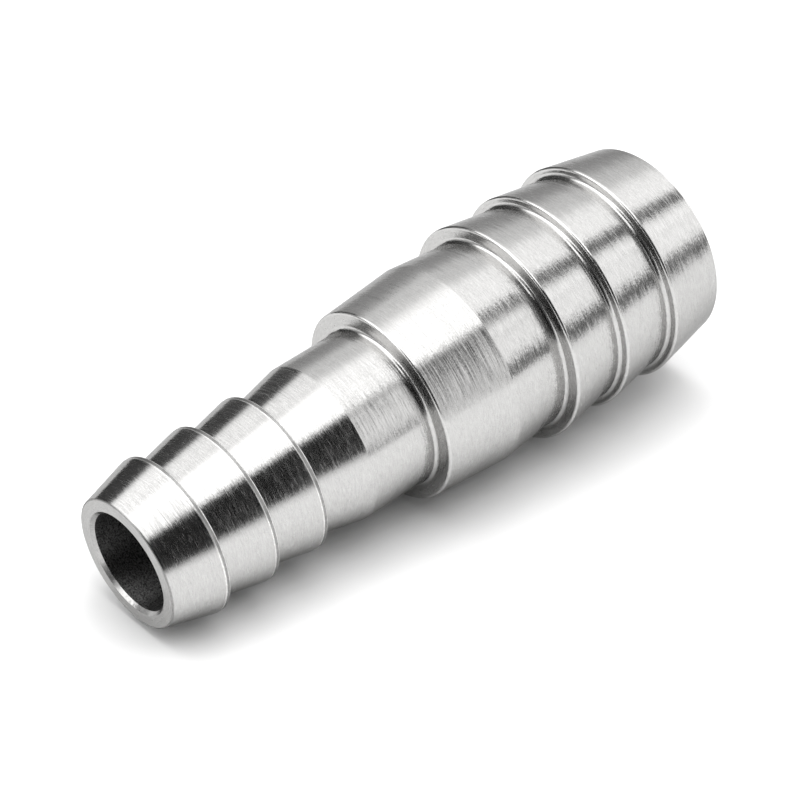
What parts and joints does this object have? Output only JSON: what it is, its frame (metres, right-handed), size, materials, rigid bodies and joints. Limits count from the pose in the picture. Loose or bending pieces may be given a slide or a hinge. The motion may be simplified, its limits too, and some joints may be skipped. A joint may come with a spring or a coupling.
{
  "type": "hose barb reducer",
  "caption": "Turned stainless steel reducer with a barbed tail for a narrow hose at one end and for a wider hose at the other.",
  "frame": {"origin": "centre of the large end face, which the part stands on", "axes": "+Z along the bore, from the large end face up to the small tip"},
  "size_m": [0.0206, 0.0206, 0.0584],
  "materials": {
    "turned_steel": "bright turned stainless steel with fine tool marks round the axis"
  },
  "bodies": {
    "root": {"reducer_body": "turned_steel"}
  },
  "joints": []
}
